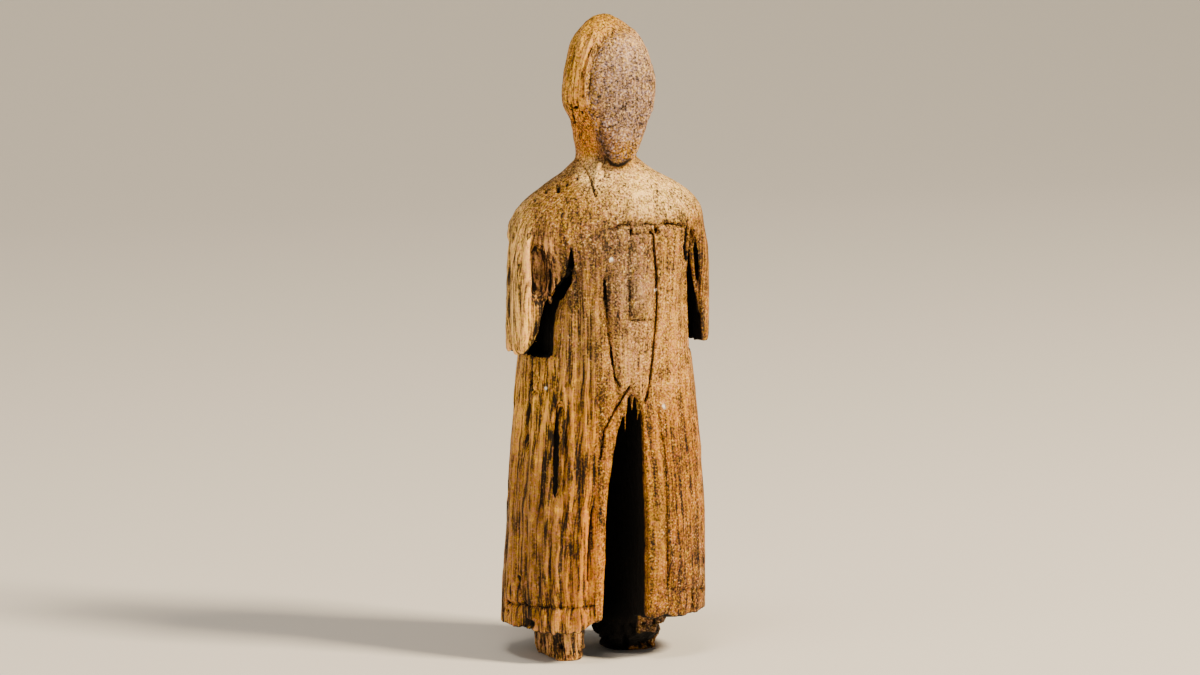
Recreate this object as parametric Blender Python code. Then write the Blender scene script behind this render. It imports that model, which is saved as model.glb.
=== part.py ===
"""A small standing figure in a long hooded coat, carved from one piece of driftwood.

The coat flares to the hem and is slit up the front. Short flat arms hang at the sides, cut
free of the chest by deep narrow gaps. The face is a bare oval facet inside the hood. Both
feet are broken off short, and the figure stands on the two stumps.

Lengths are in metres, written as millimetres times MM. +Z is up, the front faces -Y, and
left and right are those of someone who looks at the front.
"""

import math

import bmesh
import bpy
import numpy as np
from mathutils import Vector

MM = 0.001

# Heights above the soles.
FIGURE_HEIGHT = 53.8 * MM
CHIN_HEIGHT = 41.4 * MM
NECK_HEIGHT = 41.7 * MM
HOOD_EDGE_HEIGHT = 45.9 * MM
YOKE_HEIGHT = 36.5 * MM
SHOULDER_HEIGHT = 35.6 * MM
ARMPIT_HEIGHT = 34.7 * MM
ARM_END_HEIGHT = 26.05 * MM
WAIST_HEIGHT = 28.8 * MM
SHELF_HEIGHT = 25.7 * MM
SLIT_HEIGHT = 23.0 * MM
LEFT_HEM_HEIGHT = 2.65 * MM
RIGHT_HEM_HEIGHT = 3.65 * MM

# The coat, from the hem up to the shelf under the arms.
HEM_HALF_WIDTH = 8.7 * MM
HEM_SHIFT = 0.2 * MM
HEM_FRONT = 6.9 * MM
HEM_BACK = 7.2 * MM
SHELF_HALF_WIDTH = 7.1 * MM
SHELF_FRONT = 6.1 * MM
SHELF_BACK = 6.3 * MM

# The chest and the shoulders.
CHEST_HALF_WIDTH = 6.45 * MM
CHEST_FRONT = 5.9 * MM
CHEST_BACK = 5.7 * MM
SHOULDER_TILT = 0.5 * MM
FLARE_HEIGHT = 31.4 * MM
ARM_TILT = 0.2 * MM

# The arms are the two ends of one flat bar through the chest.
ARM_SPAN = 17.2 * MM
ARM_FRONT = 3.8 * MM
ARM_BACK = 2.7 * MM
ARM_TOP_RISE = 1.35 * MM

# The gaps beside the arms and the slit in the coat are blind: wood closes them behind.
ARM_GAP_BACK = 0.9 * MM
RIGHT_GAP_RISE = 1.05 * MM
SLIT_BACK = 2.4 * MM
SLIT_LEFT = 3.0 * MM
SLIT_RIGHT = 1.62 * MM
CUT_NARROWING = 0.8

# The head, its face and the neck.
HEAD_HALF_WIDTH = 3.75 * MM
HEAD_FRONT = 3.4 * MM
HEAD_BACK = 4.0 * MM
HEAD_MIDDLE = 0.8 * MM
FACE_HALF_WIDTH = 3.1 * MM
FACE_FRONT = 4.2 * MM
FACE_DROP = 1.5 * MM
FACE_EDGE = 1.1 * MM
FACE_SHIFT = 0.1 * MM
NECK_HALF_WIDTH = 2.45 * MM
NECK_MIDDLE = 0.2 * MM
NECK_LEAN = 0.5 * MM

# The broken feet.
LEFT_FOOT_MIDDLE = 4.45 * MM
LEFT_FOOT_HALF_WIDTH = 1.75 * MM
LEFT_FOOT_HALF_LENGTH = 3.2 * MM
LEFT_FOOT_FRONT = 4.2 * MM
RIGHT_FOOT_MIDDLE = 2.2 * MM
RIGHT_FOOT_HALF_WIDTH = 3.1 * MM
RIGHT_FOOT_HALF_LENGTH = 3.7 * MM
RIGHT_FOOT_FRONT = 3.3 * MM

# The carved lines, the weathered grain and the hollow in the left arm.
SEAM_DEPTH = 0.3 * MM
SEAM_HALF_WIDTH = 0.24 * MM
HEM_TRIM = 2.2 * MM
CHECK_DEPTH = 0.9 * MM
CHECK_HALF_WIDTH = 0.28 * MM
FLUTE_DEPTH = 0.16 * MM
FLUTE_WIDTH = 1.2 * MM
HOLLOW_DEPTH = 0.7 * MM
HOLLOW_HEIGHT = 32.6 * MM
HOLLOW_LENGTH = 5.0 * MM
HOLLOW_WIDTH = 1.9 * MM
HOLLOW_MIDDLE = 7.2 * MM

# How finely the wood is cut, and how far one form runs into the next.
GRID = 0.16 * MM
TRIANGLES = 9600
RING_POINTS = 72
OVERLAP = 1.5 * MM

# Superellipse powers: 2 is an ellipse, and a higher power is squarer.
COAT_POWER = 2.42
ARM_POWER = 4.5
HOOD_POWER = 2.3
FACE_POWER = 3.0
NECK_POWER = 2.2
FOOT_POWER = 2.65


def clear_scene():
    for item in list(bpy.data.objects):
        bpy.data.objects.remove(item, do_unlink=True)


def curve(stations, at):
    """Read a smooth curve through (place, value) stations in rising order."""
    places = np.array([place for place, value in stations])
    values = np.array([value for place, value in stations])
    slopes = np.gradient(values, places)
    at = np.clip(at, places[0], places[-1])
    first = np.clip(np.searchsorted(places, at) - 1, 0, len(places) - 2)
    span = places[first + 1] - places[first]
    t = (at - places[first]) / span
    rise = (3.0 - 2.0 * t) * t * t
    bend = t * (t - 1.0) * ((t - 1.0) * slopes[first] + t * slopes[first + 1])
    return values[first] * (1.0 - rise) + values[first + 1] * rise + bend * span


def ring(height, half_width, front, back, squareness, middle=(0.0, 0.0)):
    """A level ring of points on a superellipse, deeper or flatter in front than behind."""
    points = []
    for step in range(RING_POINTS):
        angle = math.tau * step / RING_POINTS
        across = math.cos(angle)
        along = math.sin(angle)
        x = math.copysign(abs(across) ** (2.0 / squareness), across) * half_width
        y = math.copysign(abs(along) ** (2.0 / squareness), along)
        y *= back if along > 0.0 else front
        points.append((x + middle[0], y + middle[1], height))
    return points


def loft(name, rings):
    """A closed skin over rings given from the bottom up."""
    shape = bmesh.new()
    rows = [[shape.verts.new(point) for point in points] for points in rings]
    for lower, upper in zip(rows, rows[1:]):
        for step in range(len(lower)):
            after = (step + 1) % len(lower)
            shape.faces.new((lower[step], lower[after], upper[after], upper[step]))
    close_end(shape, list(reversed(rows[0])))
    close_end(shape, rows[-1])
    return finish_object(name, shape)


def close_end(shape, row):
    """Fill a ring with a fan round its middle, which also suits a ring that isn't flat."""
    middle = shape.verts.new(sum((vertex.co for vertex in row), Vector()) / len(row))
    for step in range(len(row)):
        shape.faces.new((row[step], row[(step + 1) % len(row)], middle))


def finish_object(name, shape):
    bmesh.ops.recalc_face_normals(shape, faces=shape.faces)
    mesh = bpy.data.meshes.new(name)
    shape.to_mesh(mesh)
    shape.free()
    item = bpy.data.objects.new(name, mesh)
    bpy.context.scene.collection.objects.link(item)
    return item


def apply_modifiers(item):
    """Put the evaluated mesh in the object and drop its modifiers."""
    bpy.context.view_layer.update()
    graph = bpy.context.evaluated_depsgraph_get()
    mesh = bpy.data.meshes.new_from_object(item.evaluated_get(graph))
    item.modifiers.clear()
    item.data = mesh


def cut(item, cutters):
    for cutter in cutters:
        step = item.modifiers.new("cut", "BOOLEAN")
        step.operation = "DIFFERENCE"
        step.solver = "EXACT"
        step.object = cutter
    apply_modifiers(item)


def join(name, items):
    """Gather closed shapes in one object, still overlapping, and drop the shapes."""
    shape = bmesh.new()
    for item in items:
        shape.from_mesh(item.data)
        bpy.data.objects.remove(item, do_unlink=True)
    return finish_object(name, shape)


def hem_height(x):
    """The coat ends lower on the left panel than on the right one."""
    share = np.clip((x + SLIT_LEFT) / (SLIT_LEFT + SLIT_RIGHT), 0.0, 1.0)
    return LEFT_HEM_HEIGHT + (RIGHT_HEM_HEIGHT - LEFT_HEM_HEIGHT) * share


def make_coat():
    """The coat from the hem to the neck: skirt, waist, chest and sloping shoulders."""
    skirt = SHELF_HEIGHT
    slope = NECK_HEIGHT - SHOULDER_HEIGHT
    shoulder = ARM_SPAN / 2.0
    flare = HEM_HALF_WIDTH - SHELF_HALF_WIDTH
    widths = (
        (0.0, HEM_HALF_WIDTH),
        (skirt * 0.32, SHELF_HALF_WIDTH + flare * 0.87),
        (skirt * 0.54, SHELF_HALF_WIDTH + flare * 0.69),
        (skirt * 0.77, SHELF_HALF_WIDTH + flare * 0.38),
        (skirt, SHELF_HALF_WIDTH),
        (FLARE_HEIGHT, CHEST_HALF_WIDTH),
        ((FLARE_HEIGHT + SHOULDER_HEIGHT) / 2.0, (CHEST_HALF_WIDTH * 2.0 + shoulder) / 3.0),
        (SHOULDER_HEIGHT, shoulder * 0.96),
        (SHOULDER_HEIGHT + slope * 0.3, shoulder * 0.93),
        (SHOULDER_HEIGHT + slope * 0.5, shoulder * 0.81),
        (SHOULDER_HEIGHT + slope * 0.63, shoulder * 0.69),
        (SHOULDER_HEIGHT + slope * 0.85, shoulder * 0.42),
        (NECK_HEIGHT, NECK_HALF_WIDTH * 1.05),
    )
    fronts = (
        (0.0, HEM_FRONT),
        (skirt * 0.6, (HEM_FRONT + SHELF_FRONT) / 2.0),
        (skirt, SHELF_FRONT),
        (ARMPIT_HEIGHT, CHEST_FRONT),
        (SHOULDER_HEIGHT + slope * 0.3, CHEST_FRONT * 0.92),
        (SHOULDER_HEIGHT + slope * 0.63, CHEST_FRONT * 0.75),
        (NECK_HEIGHT, CHEST_FRONT * 0.42),
    )
    backs = (
        (0.0, HEM_BACK),
        (skirt, SHELF_BACK),
        (ARMPIT_HEIGHT, CHEST_BACK),
        (SHOULDER_HEIGHT + slope * 0.3, CHEST_BACK * 0.92),
        (SHOULDER_HEIGHT + slope * 0.63, CHEST_BACK * 0.75),
        (NECK_HEIGHT, CHEST_BACK * 0.42),
    )
    rings = []
    low = (LEFT_HEM_HEIGHT + RIGHT_HEM_HEIGHT) / 2.0
    for share in spaced(0.0, 1.0, 60):
        height = low + (NECK_HEIGHT - low) * share
        middle = (-HEM_SHIFT * max(0.0, 1.0 - height / (skirt * 0.4)), 0.0)
        width = curve(widths, height)
        points = ring(height, width, curve(fronts, height), curve(backs, height), COAT_POWER, middle)
        rings.append([
            (x, y, z + (hem_height(x) - low) * (1.0 - share) + shoulder_tilt(x, z))
            for x, y, z in points
        ])
    return loft("coat", rings)


def shoulder_tilt(x, height):
    """The right shoulder is held higher than the left one."""
    across = np.clip(x / (ARM_SPAN / 4.0), -1.15, 0.7)
    up = np.clip((height - ARMPIT_HEIGHT) / (SHOULDER_HEIGHT - ARMPIT_HEIGHT), 0.0, 1.0)
    down = np.clip((NECK_HEIGHT + OVERLAP - height) / (NECK_HEIGHT - SHOULDER_HEIGHT), 0.0, 1.0)
    return SHOULDER_TILT * across * up * down


def make_arms():
    top = SHOULDER_HEIGHT + ARM_TOP_RISE
    middle = (0.0, (ARM_BACK - ARM_FRONT) / 2.0)
    half_depth = (ARM_BACK + ARM_FRONT) / 2.0
    rings = []
    stations = (
        (0.0, 0.99, 0.98),
        (0.05, 1.0, 1.0),
        (0.5, 1.0, 1.0),
        (0.78, 0.985, 0.98),
        (0.9, 0.95, 0.9),
        (1.0, 0.88, 0.75),
    )
    for share, spread, thickness in stations:
        height = ARM_END_HEIGHT + (top - ARM_END_HEIGHT) * share
        depth = half_depth * thickness
        points = ring(height, ARM_SPAN / 2.0 * spread, depth, depth, ARM_POWER, middle)
        rings.append([(x, y, z + ARM_TILT * x / (ARM_SPAN / 2.0)) for x, y, z in points])
    return loft("arms", rings)


def blind_cut(name, heights, left_edge, right_edge, back):
    """A cutter that enters from the front between two edges, narrows and stops inside."""
    mouth = -2.0 * HEM_FRONT
    rings = []
    for height in heights:
        left = left_edge(height)
        right = right_edge(height)
        centre = (left + right) / 2.0
        half = (right - left) / 2.0
        rings.append([
            (centre - half, mouth, height),
            (centre + half, mouth, height),
            (centre + half * CUT_NARROWING, back, height),
            (centre - half * CUT_NARROWING, back, height),
        ])
    return loft(name, rings)


def spaced(low, high, count):
    return [low + (high - low) * step / (count - 1) for step in range(count)]


def make_left_gap():
    """Narrow at the armpit and wide at the arm's end, where the arm has broken away."""
    drop = ARMPIT_HEIGHT - SHELF_HEIGHT

    def chest_edge(height):
        share = (ARMPIT_HEIGHT - height) / drop
        stations = ((0.0, 0.69), (0.27, 0.68), (0.39, 0.73), (0.5, 0.78), (0.58, 0.81), (1.0, 0.84))
        return -CHEST_HALF_WIDTH * curve(stations, share)

    def arm_edge(height):
        share = (ARMPIT_HEIGHT - height) / drop
        stations = (
            (0.0, 0.05), (0.2, 0.08), (0.28, 0.16), (0.37, 0.3),
            (0.46, 0.42), (0.6, 0.46), (0.78, 0.54), (0.95, 0.8), (1.0, 0.9),
        )
        chest = chest_edge(height)
        return chest + (-ARM_SPAN / 2.0 - chest) * curve(stations, share)

    heights = spaced(SHELF_HEIGHT, ARMPIT_HEIGHT, 20)
    return blind_cut("left gap", heights, arm_edge, chest_edge, ARM_GAP_BACK)


def make_right_gap():
    """A slot that widens from under the shoulder to half the arm's width at the arm's end."""
    top = SHOULDER_HEIGHT + RIGHT_GAP_RISE
    drop = top - SHELF_HEIGHT

    def chest_edge(height):
        share = (top - height) / drop
        return CHEST_HALF_WIDTH * curve(((0.0, 0.89), (0.2, 0.9), (1.0, 0.95)), share)

    def arm_edge(height):
        share = (top - height) / drop
        stations = ((0.0, 0.06), (0.2, 0.37), (0.6, 0.5), (1.0, 0.55))
        chest = chest_edge(height)
        return chest + (ARM_SPAN / 2.0 - chest) * curve(stations, share)

    heights = spaced(SHELF_HEIGHT, top, 10)
    return blind_cut("right gap", heights, chest_edge, arm_edge, ARM_GAP_BACK)


def make_slit():
    """A pointed opening in the front of the coat, wider to the left as it goes down."""

    def left_edge(height):
        share = height / SLIT_HEIGHT
        stations = ((-0.1, 1.0), (0.22, 0.95), (0.59, 0.72), (0.77, 0.54), (0.88, 0.32), (1.0, 0.0))
        return -SLIT_LEFT * curve(stations, share)

    def right_edge(height):
        share = height / SLIT_HEIGHT
        stations = ((-0.1, 1.0), (0.6, 0.92), (0.85, 0.7), (0.95, 0.55), (1.0, 0.08))
        return SLIT_RIGHT * curve(stations, share)

    return blind_cut("slit", spaced(-OVERLAP, SLIT_HEIGHT, 24), left_edge, right_edge, SLIT_BACK)


def make_head():
    """The hood over the skull, a blunt egg whose crown lies behind its middle."""
    rise = FIGURE_HEIGHT - HOOD_EDGE_HEIGHT
    sizes = (
        (-0.22, 0.72), (-0.07, 0.88), (0.0, 0.96), (0.09, 1.01), (0.26, 1.01), (0.42, 0.96),
        (0.56, 0.9), (0.68, 0.82), (0.8, 0.66), (0.9, 0.44), (0.96, 0.25), (1.0, 0.04),
    )
    leans = ((-0.22, 1.0), (0.4, 1.0), (0.7, 0.7), (0.87, 0.1), (0.95, -0.45), (1.0, -0.8))
    rings = []
    for share in spaced(-0.22, 0.9, 24) + spaced(0.92, 1.0, 5):
        size = curve(sizes, share)
        middle = (0.0, -HEAD_MIDDLE * curve(leans, share))
        height = HOOD_EDGE_HEIGHT + rise * share
        half_width = HEAD_HALF_WIDTH * size
        rings.append(ring(height, half_width, HEAD_FRONT * size, HEAD_BACK * size, HOOD_POWER, middle))
    return loft("head", rings)


def make_face():
    """The face, an egg-shaped slab with its chin hanging clear of the neck."""
    rise = FIGURE_HEIGHT - FACE_DROP - CHIN_HEIGHT
    widths = (
        (0.0, 0.14), (0.04, 0.34), (0.12, 0.52), (0.3, 0.75), (0.5, 0.95), (0.65, 1.0),
        (0.8, 0.88), (0.93, 0.56), (1.0, 0.2),
    )
    fronts = ((0.0, 0.84), (0.1, 0.9), (0.3, 0.97), (0.55, 1.0), (0.8, 0.93), (1.0, 0.7))
    rings = []
    for share in spaced(0.0, 1.0, 24):
        height = CHIN_HEIGHT + rise * share
        half = FACE_HALF_WIDTH * curve(widths, share)
        front = FACE_FRONT * curve(fronts, share)
        depth = min(front, half + FACE_EDGE) * 0.8
        middle = (FACE_SHIFT, -front + depth * 0.3)
        rings.append(ring(height, half, depth * 0.3, depth * 0.7, FACE_POWER, middle))
    return loft("face", rings)


def make_neck():
    rings = []
    low = SHOULDER_HEIGHT + (NECK_HEIGHT - SHOULDER_HEIGHT) * 0.7
    for share, spread in ((0.0, 1.3), (0.2, 1.05), (0.35, 1.0), (0.7, 1.16), (1.0, 1.3)):
        height = low + (HOOD_EDGE_HEIGHT - low) * share
        half = NECK_HALF_WIDTH * spread
        middle = (0.0, NECK_MIDDLE - NECK_LEAN * share)
        rings.append(ring(height, half, half, half, NECK_POWER, middle))
    return loft("neck", rings)


def make_left_foot():
    """A squared stump, a little ragged at its lower edge."""
    top = LEFT_HEM_HEIGHT + OVERLAP
    middle = (-LEFT_FOOT_MIDDLE, LEFT_FOOT_HALF_LENGTH - LEFT_FOOT_FRONT)
    rings = []
    for share, spread in ((-0.37, 0.84), (0.0, 0.88), (0.12, 0.95), (0.3, 1.0), (1.0, 1.0)):
        half_length = LEFT_FOOT_HALF_LENGTH * spread
        half_width = LEFT_FOOT_HALF_WIDTH * spread
        rings.append(ring(top * share, half_width, half_length, half_length, FOOT_POWER, middle))
    return loft("left foot", rings)


def make_right_foot():
    """A broader stump, broken upward in front, with a sole wide enough to stand on."""
    left = RIGHT_FOOT_MIDDLE - RIGHT_FOOT_HALF_WIDTH
    right = RIGHT_FOOT_MIDDLE + RIGHT_FOOT_HALF_WIDTH
    width = right - left
    top = RIGHT_HEM_HEIGHT + OVERLAP
    stations = (
        (-0.3, 0.2, 0.08, 0.68),
        (0.0, 0.2, 0.08, 0.68),
        (0.1, 0.14, 0.1, 0.74),
        (0.22, 0.05, 0.1, 0.88),
        (0.33, 0.0, 0.06, 0.97),
        (0.5, 0.03, 0.0, 1.0),
        (0.7, 0.2, 0.0, 1.0),
        (1.0, 0.4, 0.0, 1.0),
    )
    back = 2.0 * RIGHT_FOOT_HALF_LENGTH - RIGHT_FOOT_FRONT
    rings = []
    for share, left_cut, right_cut, length in stations:
        half_width = width * (1.0 - left_cut - right_cut) / 2.0
        half_length = RIGHT_FOOT_HALF_LENGTH * length
        middle = (left + width * left_cut + half_width, back - half_length)
        rings.append(ring(top * share, half_width, half_length, half_length, FOOT_POWER, middle))
    return loft("right foot", rings)


def smooth_wood(item):
    """Fuse what was joined into one skin of even small faces."""
    fuse = item.modifiers.new("fuse", "REMESH")
    fuse.mode = "VOXEL"
    fuse.voxel_size = GRID
    fuse.adaptivity = 0.0
    ease = item.modifiers.new("ease", "SMOOTH")
    ease.factor = 0.5
    ease.iterations = 3
    apply_modifiers(item)


def seam(height, points, depth=1.0, half_width=1.0):
    """A line cut in the front, through points across and up from a height, in millimetres."""
    places = [(across * MM, height + up * MM) for across, up in points]
    return places, SEAM_DEPTH * depth, SEAM_HALF_WIDTH * half_width


def front_seams():
    """The yoke, the two long edges of the front opening and the trims of slit and hem."""
    return [
        seam(YOKE_HEIGHT, ((-1.1, 0.0), (0.0, 0.1), (1.9, 0.3), (3.3, 0.1), (4.9, -0.2))),
        seam(YOKE_HEIGHT, ((0.1, -0.4), (2.5, -0.5)), 0.5, 0.7),
        seam(YOKE_HEIGHT, ((0.1, 0.0), (0.1, -0.4)), 0.8, 0.7),
        seam(YOKE_HEIGHT, (
            (1.8, 0.1), (2.2, -2.3), (2.35, -5.2), (2.3, -7.0), (2.0, -10.5), (1.35, -14.3),
        )),
        seam(YOKE_HEIGHT, (
            (-2.2, -4.8), (-2.2, -6.1), (-1.7, -9.9), (-1.45, -12.2), (-1.05, -14.3),
        ), 1.2),
        seam(WAIST_HEIGHT, ((-0.2, 3.5), (-0.1, 1.3), (-0.2, 0.0), (-0.5, -1.2)), 0.7),
        seam(WAIST_HEIGHT, ((-1.9, -0.4), (-0.9, -0.3)), 0.4),
        seam(WAIST_HEIGHT, ((-0.1, 0.0), (1.7, 0.0)), 0.6),
        seam(SLIT_HEIGHT, ((-0.2, 0.4), (-0.8, -0.5), (-1.75, -2.1), (-2.5, -3.6), (-2.85, -5.3)), 0.8),
        seam(SLIT_HEIGHT, ((1.65, -1.1), (2.4, -2.3), (2.9, -4.7), (3.1, -11.0), (3.2, -16.8)), 0.8),
        seam(RIGHT_HEM_HEIGHT + HEM_TRIM, ((3.4, 0.3), (5.2, 0.0), (7.1, -0.1)), 0.8),
        seam(RIGHT_HEM_HEIGHT + HEM_TRIM, ((5.7, 0.0), (5.7, -1.9)), 0.5),
        seam(LEFT_HEM_HEIGHT + HEM_TRIM, ((-8.5, 0.0), (-8.2, 0.3), (-6.8, 0.1), (-3.3, 0.4)), 0.8),
    ]


def deep_check():
    """A drying crack that has opened along the grain of the left panel."""
    places = seam(SLIT_HEIGHT, ((-5.6, -1.3), (-5.85, -4.0), (-6.05, -8.6)))[0]
    return places, CHECK_DEPTH, CHECK_HALF_WIDTH


def groove_depth(across, up, places, depth, half_width):
    """How deep a V-shaped groove through the places is at each point."""
    nearest = np.full(len(across), np.inf)
    for start, end in zip(places, places[1:]):
        run = end[0] - start[0]
        rise = end[1] - start[1]
        share = ((across - start[0]) * run + (up - start[1]) * rise) / (run * run + rise * rise)
        share = np.clip(share, 0.0, 1.0)
        gap = np.hypot(across - start[0] - run * share, up - start[1] - rise * share)
        nearest = np.minimum(nearest, gap)
    return depth * np.clip(1.0 - nearest / half_width, 0.0, 1.0)


def flute_depth(x, y, z):
    """Worn grain: upright flutes round the skirt, deep on the left and faint on the right."""
    turn = np.arctan2(x, -y)
    count = round(math.tau * (HEM_HALF_WIDTH + HEM_FRONT) / 2.0 / FLUTE_WIDTH)
    sway = 0.35 * np.sin(z / (6.0 * MM))
    waves = np.cos(count * turn + sway) + 0.7 * np.cos(0.62 * count * turn - sway + 1.0)
    side = 0.55 + 0.45 * np.tanh((-turn - 0.25) * 5.0)
    front = np.where(turn > 0.0, 0.15 + 0.35 * np.clip(np.abs(turn) - 1.7, 0.0, 1.0), side)
    fade = np.clip((SHELF_HEIGHT - z) / (SHELF_HEIGHT * 0.25), 0.0, 1.0)
    return FLUTE_DEPTH * (waves + 0.6) / 2.3 * front * fade


def hollow_depth(x, z):
    """A long shallow dish in the front of the left arm."""
    across = (x + HOLLOW_MIDDLE) / (HOLLOW_WIDTH / 2.0)
    up = (z - HOLLOW_HEIGHT) / (HOLLOW_LENGTH / 2.0)
    return HOLLOW_DEPTH * np.clip(1.0 - across ** 2 - up ** 2, 0.0, 1.0)


def carve(item):
    """Cut the seams, the check, the flutes and the arm's hollow into the fused skin."""
    mesh = item.data
    count = len(mesh.vertices)
    places = np.empty(count * 3)
    normals = np.empty(count * 3)
    mesh.vertices.foreach_get("co", places)
    mesh.vertices.foreach_get("normal", normals)
    places = places.reshape(-1, 3)
    normals = normals.reshape(-1, 3)
    x, y, z = places.T
    facing = np.clip((-normals[:, 1] - 0.25) / 0.25, 0.0, 1.0) * (y < -0.25 * CHEST_FRONT)
    depth = np.zeros(count)
    for line in front_seams() + [deep_check()]:
        depth = np.maximum(depth, groove_depth(x, z, *line))
    depth *= facing
    depth += hollow_depth(x, z) * facing
    upright = np.hypot(normals[:, 0], normals[:, 1]) > 0.7
    outside = np.hypot(x, y) > CHEST_BACK * 0.9
    skirt = upright & outside & (z > LEFT_HEM_HEIGHT)
    depth += np.where(skirt, flute_depth(x, y, z), 0.0)
    places -= normals * depth[:, None]
    mesh.vertices.foreach_set("co", places.ravel())
    mesh.update()


def thin_out(item):
    """Leave the faces that the carving needs."""
    mesh = item.data
    mesh.calc_loop_triangles()
    thin = item.modifiers.new("thin", "DECIMATE")
    thin.decimate_type = "COLLAPSE"
    thin.ratio = TRIANGLES / len(mesh.loop_triangles)
    thin.use_collapse_triangulate = True
    apply_modifiers(item)


def cut_soles(item):
    """Cut both feet off flat at the ground and close them."""
    shape = bmesh.new()
    shape.from_mesh(item.data)
    everything = shape.verts[:] + shape.edges[:] + shape.faces[:]
    ground = {"plane_co": (0.0, 0.0, 0.0), "plane_no": (0.0, 0.0, -1.0)}
    bmesh.ops.bisect_plane(shape, geom=everything, dist=1e-7, clear_outer=True, **ground)
    rims = [edge for edge in shape.edges if edge.is_boundary]
    bmesh.ops.contextual_create(shape, geom=rims)
    bmesh.ops.triangulate(shape, faces=shape.faces[:])
    bmesh.ops.recalc_face_normals(shape, faces=shape.faces)
    shape.to_mesh(item.data)
    shape.free()


def centre(item):
    """Put the origin under the middle of the figure's box."""
    corners = np.array([vertex.co[:] for vertex in item.data.vertices])
    middle = (corners.min(axis=0) + corners.max(axis=0)) / 2.0
    for vertex in item.data.vertices:
        vertex.co.x -= middle[0]
        vertex.co.y -= middle[1]


def paint(item):
    material = bpy.data.materials.new("weathered driftwood")
    material.use_nodes = True
    shader = material.node_tree.nodes["Principled BSDF"]
    shader.inputs["Base Color"].default_value = (0.36, 0.19, 0.08, 1.0)
    shader.inputs["Roughness"].default_value = 0.55
    shader.inputs["Metallic"].default_value = 0.0
    item.data.materials.clear()
    item.data.materials.append(material)


def make_figurine():
    coat = make_coat()
    arms = make_arms()
    gaps = [make_left_gap(), make_right_gap()]
    slit = make_slit()
    cut(coat, gaps + [slit])
    cut(arms, gaps)
    for cutter in gaps + [slit]:
        bpy.data.objects.remove(cutter, do_unlink=True)
    others = [make_neck(), make_head(), make_face(), make_left_foot(), make_right_foot()]
    figurine = join("figurine", [coat, arms] + others)
    smooth_wood(figurine)
    carve(figurine)
    thin_out(figurine)
    cut_soles(figurine)
    centre(figurine)
    paint(figurine)
    return figurine


clear_scene()
make_figurine()
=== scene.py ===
# %% [markdown]
# # A carved driftwood figurine
# The real object is a little standing figure in a hooded coat, cut with a knife from one piece
# of driftwood and then worn by time. We start from its plain solid, give it a fine skin, carve
# the grain, cracks and splinters into that skin, and colour it with one wood material. Left and
# right are the viewer's throughout.

import math

import bpy
import numpy as np
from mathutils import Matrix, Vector, noise


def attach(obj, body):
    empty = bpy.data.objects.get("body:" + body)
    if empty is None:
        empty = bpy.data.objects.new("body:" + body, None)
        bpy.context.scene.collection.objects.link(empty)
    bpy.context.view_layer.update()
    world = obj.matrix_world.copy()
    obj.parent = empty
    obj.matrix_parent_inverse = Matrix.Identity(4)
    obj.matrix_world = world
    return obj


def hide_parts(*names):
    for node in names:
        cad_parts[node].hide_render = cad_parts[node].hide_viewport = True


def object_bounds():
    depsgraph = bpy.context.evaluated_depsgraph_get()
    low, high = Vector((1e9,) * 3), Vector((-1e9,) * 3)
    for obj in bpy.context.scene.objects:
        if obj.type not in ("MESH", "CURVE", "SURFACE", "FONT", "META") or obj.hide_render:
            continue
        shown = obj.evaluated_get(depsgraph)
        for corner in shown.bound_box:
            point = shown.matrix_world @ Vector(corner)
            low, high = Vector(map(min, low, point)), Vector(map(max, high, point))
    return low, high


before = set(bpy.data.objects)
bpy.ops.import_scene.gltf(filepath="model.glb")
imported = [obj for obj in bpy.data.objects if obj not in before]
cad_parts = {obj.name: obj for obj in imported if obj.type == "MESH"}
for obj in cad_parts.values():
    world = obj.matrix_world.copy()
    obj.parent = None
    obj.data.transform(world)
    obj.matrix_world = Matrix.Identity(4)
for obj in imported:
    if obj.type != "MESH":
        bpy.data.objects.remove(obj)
cad_box = [[float(value) for value in corner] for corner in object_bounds()]
MM = 0.001
print("the solid's box in mm:", [[round(value / MM, 2) for value in corner] for corner in cad_box])

# %% [markdown]
# Colours are written as the hex values that a paint program shows. Blender's shaders work in
# linear light, so one function turns a hex value into linear numbers.


# %% Colours
def linear(hex_colour):
    channels = [int(hex_colour[place:place + 2], 16) / 255.0 for place in (1, 3, 5)]
    return [
        value / 12.92 if value <= 0.04045 else ((value + 0.055) / 1.055) ** 2.4
        for value in channels
    ]


print("honey brown in linear light:", [round(value, 3) for value in linear("#96602a")])

# %% [markdown]
# The figure is seen a little from its left and a little from above, through a long lens. A long
# lens far away keeps the upright edges upright, as a photograph of a small object does. A
# direction vector, turned by the two angles, says where the camera stands.

# %% The camera
VIEW_TURN = math.radians(-20.0)
VIEW_RISE = math.radians(8.0)
FIELD_WIDTH = 100.6 * MM
LENS = 200.0
SENSOR_WIDTH = 36.0
LOOK_AT = Vector((-0.25, 0.09, 26.57)) * MM

towards = Vector((
    math.sin(VIEW_TURN) * math.cos(VIEW_RISE),
    -math.cos(VIEW_TURN) * math.cos(VIEW_RISE),
    math.sin(VIEW_RISE),
))
distance = FIELD_WIDTH * LENS / SENSOR_WIDTH
bpy.ops.object.camera_add(
    location=LOOK_AT + towards * distance,
    rotation=towards.to_track_quat("Z", "Y").to_euler(),
)
camera = bpy.context.object
camera.name = "camera"
camera.data.lens = LENS
camera.data.clip_start = 0.01
bpy.context.scene.camera = camera
print("the camera stands", round(distance / MM), "mm away")

# %% [markdown]
# The floor is a pale sheet that curves up behind the figure, as in a photographer's studio, so
# no horizon shows. A plane is added, its back edge is extruded up, and the fold is bevelled.

# %% The floor
FLOOR_SIZE = 1.6

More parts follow.
